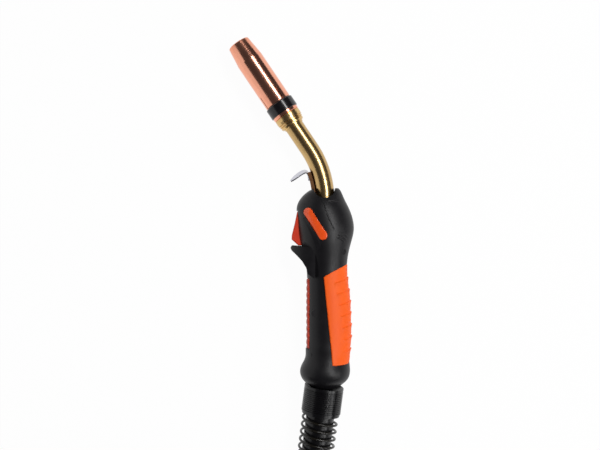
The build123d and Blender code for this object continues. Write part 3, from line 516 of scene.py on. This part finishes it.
def palm_low(share):
    return 26.6 - 5.2 * min(1.0, 1.9 * (1 - (1 - abs(share)) ** 2))


def palm_relief(height, angle, inward):
    """Ribs like overlapping scales: each rises slowly and drops off at a fine undercut line."""
    lift = 0.0
    inside = min(1.0, max(0.0, (inward - 1.2) / 2.5))
    for number, spine in enumerate(PALM_RIBS):
        end = radians(RIB_END - RIB_END_STEP * number)
        if abs(angle) > end:
            continue
        line = spine - (RIB_DROOP - RIB_DROOP_STEP * number) * (abs(angle) / end) ** 1.2
        fade = min(1.0, (end - abs(angle)) / 0.12)
        off = height - line
        if -RIB_RISE < off <= 0.0:
            lift += RIB_PROUD * fade * inside * (1 + off / RIB_RISE) ** 2
        elif 0.0 < off < 1.0:
            lift += fade * inside * (RIB_PROUD - (RIB_PROUD + RIB_CUT) * sin(pi * off / 2))
        elif 1.0 <= off < RIB_CUT_END:
            lift -= RIB_CUT * fade * inside * (RIB_CUT_END - off) / (RIB_CUT_END - 1)
    return lift


palm_pad = padded_strip(
    "palm_pad", palm_low, palm_high, (0.0, palm_reach), palm_relief, 190, 130
)

STRIP_LOW, STRIP_HIGH, STRIP_EDGE = 36.2, 105.8, -15.6
BUMP_START, BUMP_PITCH, BUMP_PROUD, BUMP_SUNK = 38.85, 6.7, 0.75, 0.35


def finger_reach(height):
    return edge_angle(height, STRIP_EDGE, side=-1)


def finger_relief(height, angle, inward):
    """A row of round-topped bumps across the strip."""
    inside = min(1.0, max(0.0, inward / 2.0))
    round_top = abs(sin(pi * (height - BUMP_START) / BUMP_PITCH)) ** 0.7
    return inside * (BUMP_PROUD * round_top - BUMP_SUNK)


finger_strip = padded_strip(
    "finger_strip", lambda share: STRIP_LOW, lambda share: STRIP_HIGH, (pi, finger_reach),
    finger_relief, 150, 34,
)


def pad_finish(name, deep, bright, tilt):
    """Grippy moulded rubber: a soft sheen, faint clouding and a very fine grain."""
    finish = Finish(name)
    finish.spot(place(0, 0))
    cloud = finish.noise(0.09, 3.0, 0.55)
    dust = finish.noise(0.9, 4.0, 0.7).ramp(0.6, 0.8)
    finish.set(
        Base_Color=finish.mix(cloud * 0.8 + dust * 0.2, deep, bright),
        Roughness=cloud * 0.1 + tilt, Specular_IOR_Level=0.25,
    )
    return finish.bump(finish.noise(2.2, 2.0) * 0.5 + finish.noise(0.5, 3.0) * 0.5, 0.07)


orange = pad_finish("palm_rubber", (0.90, 0.100, 0.004), (1.0, 0.140, 0.010), 0.46)
red = pad_finish("finger_rubber", (0.55, 0.035, 0.012), (0.70, 0.06, 0.02), 0.42)
for pad, node, finish, slot_name in (
    (palm_pad, "back_grip", orange, "pad_orange"), (finger_strip, "front_grip", red, "pad_red")
):
    pad.data.materials.append(finish.material)
    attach(pad, "torch")
    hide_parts(node)

# ---- Badges -------------------------------------------------------------------------------------
# A bare, slightly domed pill of glossy orange plastic let into each side of the head.
PILL = ((-17.2, 171.5), (-2.8, 148.9))
PILL_R, PILL_ROLL = 4.55, 0.9
PILL_PROUD, PILL_DOME, PILL_SUNK = 0.3, 0.12, 1.5


def handle_side(x, height, lift, sign):
    """A point above the handle's left or right side."""
    mid, wide, thick = section(height)
    share = max(-0.999, min(0.999, (x - mid) / wide))
    rise = thick * sqrt(1 - share * share)
    return place(x, height, sign * (rise + lift))


def pill(name, sign):
    """The badge, as rings that close in on its middle line."""
    (x0, h0), (x1, h1) = PILL
    turn = atan2(h1 - h0, x1 - x0)
    rings, around = 12, 64
    points, faces = [], []

    def spot(out, step):
        """A place this far out from the middle line, after some steps round it."""
        angle = 2 * pi * step / around
        x, height = (x1, h1) if cos(angle) >= 0 else (x0, h0)
        return x + out * cos(angle + turn), height + out * sin(angle + turn)

    for ring in range(rings + 1):
        inward = PILL_R * ring / rings
        lift = rolled(inward, PILL_ROLL, PILL_PROUD) + PILL_DOME * (ring / rings)
        for k in range(around):
            points.append(handle_side(*spot(PILL_R - inward, k), lift, sign))
    for ring in range(rings):
        for k in range(around):
            a, b = ring * around + k, ring * around + (k + 1) % around
            faces.append((a, b, b + around, a + around))
    base = len(points)
    for k in range(around):
        points.append(handle_side(*spot(PILL_R, k), -PILL_SUNK, sign))
    for k in range(around):
        faces.append(((k + 1) % around, k, base + k, base + (k + 1) % around))
    return solid_piece(name, points, faces)


enamel = Finish("badge_plastic")
enamel.spot(place(0, 0))
tint = enamel.noise(0.2, 3.0)
enamel.set(
    Base_Color=enamel.mix(tint, (0.84, 0.075, 0.008), (0.95, 0.11, 0.012)),
    Roughness=tint * 0.08 + 0.24, Coat_Weight=0.3, Coat_Roughness=0.15,
)
enamel.bump(enamel.noise(0.7, 2.0), 0.05)
for name, node, sign in (("pill_left", "badge_left", 1), ("pill_right", "badge_right", -1)):
    piece = pill(name, sign)
    piece.data.materials.append(enamel.material)
    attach(piece, "torch")
    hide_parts(node)

# ---- Trigger, switch and screws -----------------------------------------------------------------
# The trigger is one moulding of glossy red plastic on a steel pin, and works a small sealed switch.
lever = Finish("trigger_plastic")
lever.spot(place(-25, 155))
tint = lever.noise(0.15, 3.0)
lever.set(
    Base_Color=lever.mix(tint, (0.58, 0.026, 0.005), (0.72, 0.046, 0.009)),
    Roughness=tint * 0.1 + 0.3, Coat_Weight=0.2, Coat_Roughness=0.2,
)
lever.bump(lever.noise(1.5, 2.0), 0.04)
lever.on("trigger")


def bright_steel(name, tone, rough, scale=1.0):
    """Machined steel with fine drawn lines and faint stains."""
    finish = Finish(name)
    finish.spot(place(0, 0))
    lines = finish.noise(2.5 * scale, 2.0, 0.6)
    stain = finish.noise(0.15, 4.0)
    finish.set(
        Base_Color=finish.mix(stain, tuple(v * 0.86 for v in tone), tone),
        Metallic=1.0, Roughness=stain * 0.12 + rough,
    )
    return finish.bump(lines, 0.02)


bright_steel("screw_steel", (0.56, 0.57, 0.58), 0.24).on(
    "handle_screws", "plug_screws", "trigger_pin", "trigger_spring", "nozzle_clip", "wire_liner"
)

# The hook is a bent steel strip that hangs the torch up.
# (across, height, half width, how far its face is turned up towards the camera, in degrees)
HOOK_RUN = [
    (-15.9, 203.2, 3.6, 0), (-16.5, 207.0, 3.8, 0), (-17.2, 210.2, 3.9, 8), (-18.6, 212.0, 3.9, 20),
    (-21.0, 212.1, 3.9, 26), (-24.5, 210.4, 3.8, 29), (-28.0, 207.9, 3.6, 29), (-31.4, 205.2, 2.9, 27),
    (-34.2, 202.7, 1.2, 22),
]


def strip(name, run, thick, steps):
    """A bent flat strip with square edges, along a run of points, turned about its own line."""
    spots = [(float(i), *row) for i, row in enumerate(run)]
    lines = [smooth_through(spots, column) for column in (1, 2, 3, 4)]
    points, faces = [], []
    for step in range(steps + 1):
        at = (len(run) - 1) * step / steps
        x, height, half, turn = (line(at) for line in lines)
        ahead = [lines[k](min(at + 0.05, len(run) - 1)) - lines[k](max(at - 0.05, 0)) for k in (0, 1)]
        size = hypot(*ahead)
        normal = Vector((-ahead[1] / size, ahead[0] / size, 0))
        wide = normal * sin(radians(turn)) + Vector((0, 0, cos(radians(turn))))
        deep = normal * cos(radians(turn)) - Vector((0, 0, sin(radians(turn))))
        for a, b in ((1, 1), (-1, 1), (-1, -1), (1, -1)):
            points.append(place(x, height) + (wide * (a * half) + deep * (b * thick / 2)) / 1000)
    for step in range(steps):
        for k in range(4):
            a, b = 4 * step + k, 4 * step + (k + 1) % 4
            faces.append((a, b, b + 4, a + 4))
    faces += [(0, 1, 2, 3), tuple(4 * steps + k for k in (3, 2, 1, 0))]
    thing = solid_piece(name, points, faces)
    thing.data.polygons.foreach_set("use_smooth", [False] * len(thing.data.polygons))
    return thing


HOOK_THICK = 1.3
hook = strip("hook_strip", HOOK_RUN, HOOK_THICK, 48)
hook.data.materials.append(bright_steel("hook_steel", (0.66, 0.66, 0.72), 0.24).material)
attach(hook, "torch")
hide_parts("hanging_hook")

sealed = Finish("switch_plastic")
sealed.spot(place(0, 0))
sealed.set(
    Base_Color=sealed.mix(sealed.noise(0.4), (0.02, 0.02, 0.022), (0.05, 0.05, 0.055)),
    Roughness=sealed.noise(0.2) * 0.2 + 0.4,
)
sealed.bump(sealed.noise(2.0), 0.03)
sealed.on("switch_body", "switch_plunger", "power_cable")

# ---- Swan neck ----------------------------------------------------------------------------------
# A bent brass tube, polished and lacquered to an olive gold, over an insulated copper current tube.
neck_brass = Finish("lacquered_brass")
neck_brass.spot(place(0, 200))
patina = neck_brass.noise(0.07, 4.0, 0.55)
specks = neck_brass.noise(0.9, 3.0, 0.7).ramp(0.66, 0.8)
neck_brass.set(
    Base_Color=neck_brass.mix(
        patina * 0.8 + specks * 0.3, (0.66, 0.45, 0.20), (0.46, 0.30, 0.12)
    ),
    Metallic=1.0, Roughness=patina * 0.1 + 0.2 + specks * 0.08,
)
neck_brass.bump(neck_brass.noise(0.5, 3.0), 0.007)
neck_brass.on("swan_neck")

turned = Finish("turned_brass")
turned.spot(place(0, 200))
patina = turned.noise(0.12, 4.0, 0.6)
turned.set(
    Base_Color=turned.mix(patina, (0.78, 0.55, 0.25), (0.60, 0.38, 0.15)),
    Metallic=1.0, Roughness=patina * 0.12 + 0.18,
)
turned.bump(turned.noise(1.0, 3.0), 0.010)
turned.on(
    "neck_head", "neck_clamp", "cable_union", "tip_holder", "plug_body", "plug_spigot",
    "contact_pin_1", "contact_pin_2",
)

sleeving = Finish("glass_sleeving")
sleeving.spot(place(0, 200))
sleeving.set(
    Base_Color=sleeving.mix(sleeving.noise(0.8), (0.62, 0.60, 0.55), (0.78, 0.75, 0.68)),
    Roughness=sleeving.noise(0.3) * 0.15 + 0.6,
)
sleeving.bump(sleeving.noise(2.0), 0.08)
sleeving.on("neck_insulation", "gas_diffuser")

# ---- Gas nozzle and its seat --------------------------------------------------------------------
# A spun copper nozzle, polished, with four slits that let it clip over a black moulded insulator.
# A thin copper ring seats the insulator on the brass head.
NECK_START, NECK_RADIUS, NECK_BEND = 184, 92, radians(34)
NECK_END = place(
    -NECK_RADIUS * (1 - cos(NECK_BEND)), NECK_START + NECK_RADIUS * sin(NECK_BEND)
)
polished = Finish("polished_copper")
ahead = polished.spot(NECK_END, NECK_BEND + pi / 2)[0]
tarnish = polished.noise(0.06, 4.0, 0.6)
pits = polished.noise(0.8, 3.0, 0.7).ramp(0.64, 0.8)
heat = ahead.ramp(112, 128)
polished.set(
    Base_Color=polished.mix(
        tarnish * 0.75 + pits * 0.35 + heat * 0.35, (0.96, 0.46, 0.32), (0.78, 0.29, 0.17)
    ),
    Metallic=1.0, Roughness=tarnish * 0.14 + 0.12 + pits * 0.12 + heat * 0.1,
)
polished.bump(polished.noise(0.5, 3.0) * 0.7 + ahead.wave(0.7) * 0.1, 0.010)
polished.on("gas_nozzle", "nozzle_seat", "contact_tip", "current_tube")

phenolic = Finish("insulator_moulding")
phenolic.spot(NECK_END)
phenolic.set(
    Base_Color=phenolic.mix(phenolic.noise(0.3), (0.0030, 0.0026, 0.0034), (0.0090, 0.0080, 0.0095)),
    Roughness=phenolic.noise(0.3) * 0.12 + 0.14, Specular_IOR_Level=0.5,
)
phenolic.bump(phenolic.noise(0.9), 0.03)
phenolic.on("insulator_ring")

# The bracket's dark brown and copper tones are a painted reflection of the black handle and the copper
# nozzle in polished steel.
bracket_reflection = Finish("bracket_painted_reflection")
bracket_reflection.spot(place(0, 200))
bracket_reflection.set(
    Base_Color=bracket_reflection.mix(bracket_reflection.noise(0.3), (0.10, 0.045, 0.02), (0.26, 0.13, 0.06)),
    Metallic=1.0, Roughness=bracket_reflection.noise(0.2) * 0.2 + 0.28,
)
bracket_reflection.bump(bracket_reflection.noise(1.0), 0.03)
bracket_reflection.on("hook_bracket")

# ---- Ball joint, support and springs ------------------------------------------------------------
# The handle turns on a glossy ball whose stem carries a ribbed black sleeve. The hose leaves the
# sleeve inside an open steel spring with a black coating, and a shorter one guards it at the plug.
gloss = Finish("glossy_nylon")
gloss.spot(place(0, 0))
gloss.set(
    Base_Color=gloss.mix(gloss.noise(0.25), (0.0016, 0.0014, 0.0020), (0.0045, 0.0042, 0.0052)),
    Roughness=gloss.noise(0.2) * 0.12 + 0.2, Specular_IOR_Level=0.4,
)
gloss.bump(gloss.noise(1.0), 0.03)
gloss.on("ball_joint", "cable_support")

matt = Finish("plug_moulding")
matt.spot(place(0, -400))
matt.set(
    Base_Color=matt.mix(matt.noise(0.12), (0.006, 0.006, 0.007), (0.014, 0.014, 0.016)),
    Roughness=matt.noise(0.2) * 0.12 + 0.4,
)
matt.bump(matt.noise(1.6), 0.05)
matt.on("plug_housing_upper", "plug_housing_lower", "plug_face", "plug_nut", "spigot_seal")

coated = Finish("coated_wire")
coated.spot(place(0, 0))
coated.set(
    Base_Color=coated.mix(coated.noise(0.5), (0.0030, 0.0026, 0.0020), (0.0110, 0.0085, 0.0050)),
    Roughness=coated.noise(0.3) * 0.12 + 0.22, Specular_IOR_Level=0.45,
)
coated.bump(coated.noise(1.5), 0.03)


def spring_tree(material):
    """A round wire wound in an even helix from the origin up +Z, with closed ends."""
    tree = bpy.data.node_groups.new("wound_spring", "GeometryNodeTree")
    face = tree.interface
    for name, kind, value in (
        ("Coil radius", "NodeSocketFloat", 0.017), ("Wire radius", "NodeSocketFloat", 0.0012),
        ("Length", "NodeSocketFloat", 0.1), ("Turns", "NodeSocketFloat", 10.0),
        ("Start", "NodeSocketVector", (0, 0, 0)), ("Tilt", "NodeSocketRotation", (0, 0, 0)),
    ):
        face.new_socket(name=name, in_out="INPUT", socket_type=kind).default_value = value
    face.new_socket(name="Geometry", in_out="OUTPUT", socket_type="NodeSocketGeometry")
    add, link = tree.nodes.new, tree.links.new
    sizes, out = add("NodeGroupInput"), add("NodeGroupOutput")
    winding, wire = add("GeometryNodeCurveSpiral"), add("GeometryNodeCurvePrimitiveCircle")
    winding.inputs["Resolution"].default_value = 40
    wire.inputs["Resolution"].default_value = 12
    link(sizes.outputs["Turns"], winding.inputs["Rotations"])
    link(sizes.outputs["Coil radius"], winding.inputs["Start Radius"])
    link(sizes.outputs["Coil radius"], winding.inputs["End Radius"])
    link(sizes.outputs["Length"], winding.inputs["Height"])
    link(sizes.outputs["Wire radius"], wire.inputs["Radius"])
    tube = add("GeometryNodeCurveToMesh")
    tube.inputs["Fill Caps"].default_value = True
    move = add("GeometryNodeTransform")
    link(winding.outputs[0], tube.inputs["Curve"])
    link(wire.outputs[0], tube.inputs["Profile Curve"])
    link(tube.outputs[0], move.inputs["Geometry"])
    link(sizes.outputs["Start"], move.inputs["Translation"])
    link(sizes.outputs["Tilt"], move.inputs["Rotation"])
    smooth = add("GeometryNodeSetShadeSmooth")
    real, paint = add("GeometryNodeRealizeInstances"), add("GeometryNodeSetMaterial")
    paint.inputs["Material"].default_value = material
    link(move.outputs[0], smooth.inputs[0])
    link(smooth.outputs[0], real.inputs[0])
    link(real.outputs[0], paint.inputs["Geometry"])
    link(paint.outputs[0], out.inputs[0])
    return tree


def made_by(name, tree, **sizes):
    """The plain mesh that a node tree makes with these sizes."""
    holder = bpy.data.objects.new(name, bpy.data.meshes.new(name))
    scene.collection.objects.link(holder)
    step = holder.modifiers.new("shape", "NODES")
    step.node_group = tree
    sockets = {
        item.name: item.identifier for item in tree.interface.items_tree if item.in_out == "INPUT"
    }
    for key, value in sizes.items():
        step[sockets[key.replace("_", " ")]] = value
    bpy.context.view_layer.update()
    result = bpy.data.meshes.new_from_object(
        holder.evaluated_get(bpy.context.evaluated_depsgraph_get())
    )
    holder.modifiers.remove(step)
    holder.data = result
    return holder


SUPPORT_LEAN, SUPPORT_DIP, PLUG_TURN = radians(7.4), radians(2.2), radians(8)
BALL = place(1.2, 13)
SUPPORT_END = 0.0446      # where the long spring leaves the sleeve, from the ball
SPRING_WIRE = 0.0012
support_way = Vector((
    -sin(SUPPORT_LEAN) * cos(SUPPORT_DIP), -cos(SUPPORT_LEAN) * cos(SUPPORT_DIP), -sin(SUPPORT_DIP),
))
plug_way = Vector((-sin(PLUG_TURN), -cos(PLUG_TURN), 0))
# (name, CAD piece, start, way, radius of the winding, length, turns)
WOUND = [
    ("long_spring", "kink_spring", BALL + support_way * SUPPORT_END, support_way,
     0.0173, 0.1046, 14.1),
    ("short_spring", "plug_spring", Vector((0.0433, -0.43781, 0.025)), plug_way,
     0.01645, 0.024, 3.75),
]
springs = spring_tree(coated.material)
for name, node, start, way, radius, length, turns in WOUND:
    wound = made_by(
        name, springs, Coil_radius=radius, Wire_radius=SPRING_WIRE, Length=length, Turns=turns,
        Start=tuple(start), Tilt=tuple(way.to_track_quat("Z", "Y").to_euler()),
    )
    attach(wound, "cable")
    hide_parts(node)
